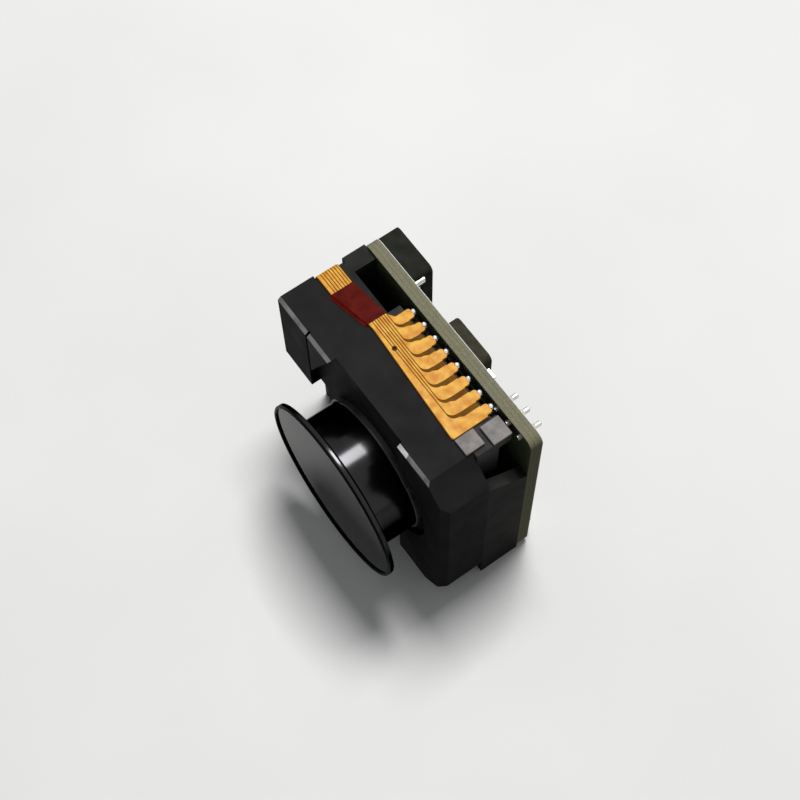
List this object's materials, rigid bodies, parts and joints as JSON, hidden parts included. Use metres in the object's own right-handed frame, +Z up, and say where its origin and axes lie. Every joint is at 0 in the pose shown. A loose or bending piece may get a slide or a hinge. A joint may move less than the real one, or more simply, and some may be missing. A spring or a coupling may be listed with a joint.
{
  "type": "camera module",
  "caption": "Square camera module: lens in a moulded housing, image sensor, film circuit folded over the top, and a main board with its connector behind.",
  "frame": {"origin": "centre of the whole module's box, at its base", "axes": "+Z up with the module standing on its lower edge, -Y along the lens's view, +X to the right seen from the lens side"},
  "size_m": [0.019, 0.0134, 0.0191],
  "materials": {
    "housing_black": "satin moulded",
    "frame_grey": "satin moulded",
    "carrier_black": "matt",
    "barrel_black": "gloss",
    "bezel_black": "satin",
    "ring_black": "satin",
    "front_glass": "coated",
    "inner_glass": "coated",
    "filter_glass": "coated",
    "sensor_glass": "polished",
    "sensor_package": "satin",
    "gasket_foam": "foam",
    "pad_grey": "foam",
    "sensor_board_green": "solder mask",
    "board_olive": "solder mask and sawn edge",
    "film_amber": "film",
    "track_copper": "copper under film",
    "tape_red": "tape",
    "solder_silver": "satin",
    "contact_tin": "tinned",
    "connector_black": "satin moulded",
    "chip_black": "moulded",
    "ferrite_black": "pressed ferrite",
    "can_silver": "satin",
    "capacitor_tan": "ceramic with tinned ends",
    "resistor_black": "glazed",
    "screw_steel": "plated"
  },
  "bodies": {
    "root": {"front_housing": "housing_black", "rear_frame": "frame_grey", "sensor_carrier": "carrier_black", "lens_barrel": "barrel_black", "lens_bezel": "bezel_black", "front_element": "front_glass", "middle_element": "inner_glass", "stop_ring": "ring_black", "rear_element": "inner_glass", "rear_retainer": "ring_black", "lock_ring": "ring_black", "colour_filter": "filter_glass", "sensor_gasket": "gasket_foam", "sensor_glass": "sensor_glass", "image_sensor": "sensor_package", "sensor_board": "sensor_board_green", "film_circuit": "film_amber", "film_tracks": "track_copper", "film_tape": "tape_red", "finger_solder": "solder_silver", "terminal_block": "carrier_black", "block_terminals": "contact_tin", "grey_pads": "pad_grey", "main_board": "board_olive", "board_connector": "connector_black", "connector_contacts": "contact_tin", "connector_nails": "contact_tin", "image_processor": "chip_black", "memory_chip": "chip_black", "voltage_regulator": "chip_black", "power_inductor": "ferrite_black", "crystal": "can_silver", "chip_capacitors": "capacitor_tan", "chip_resistors": "resistor_black", "board_pins": "contact_tin", "housing_screws": "screw_steel"}
  },
  "joints": []
}
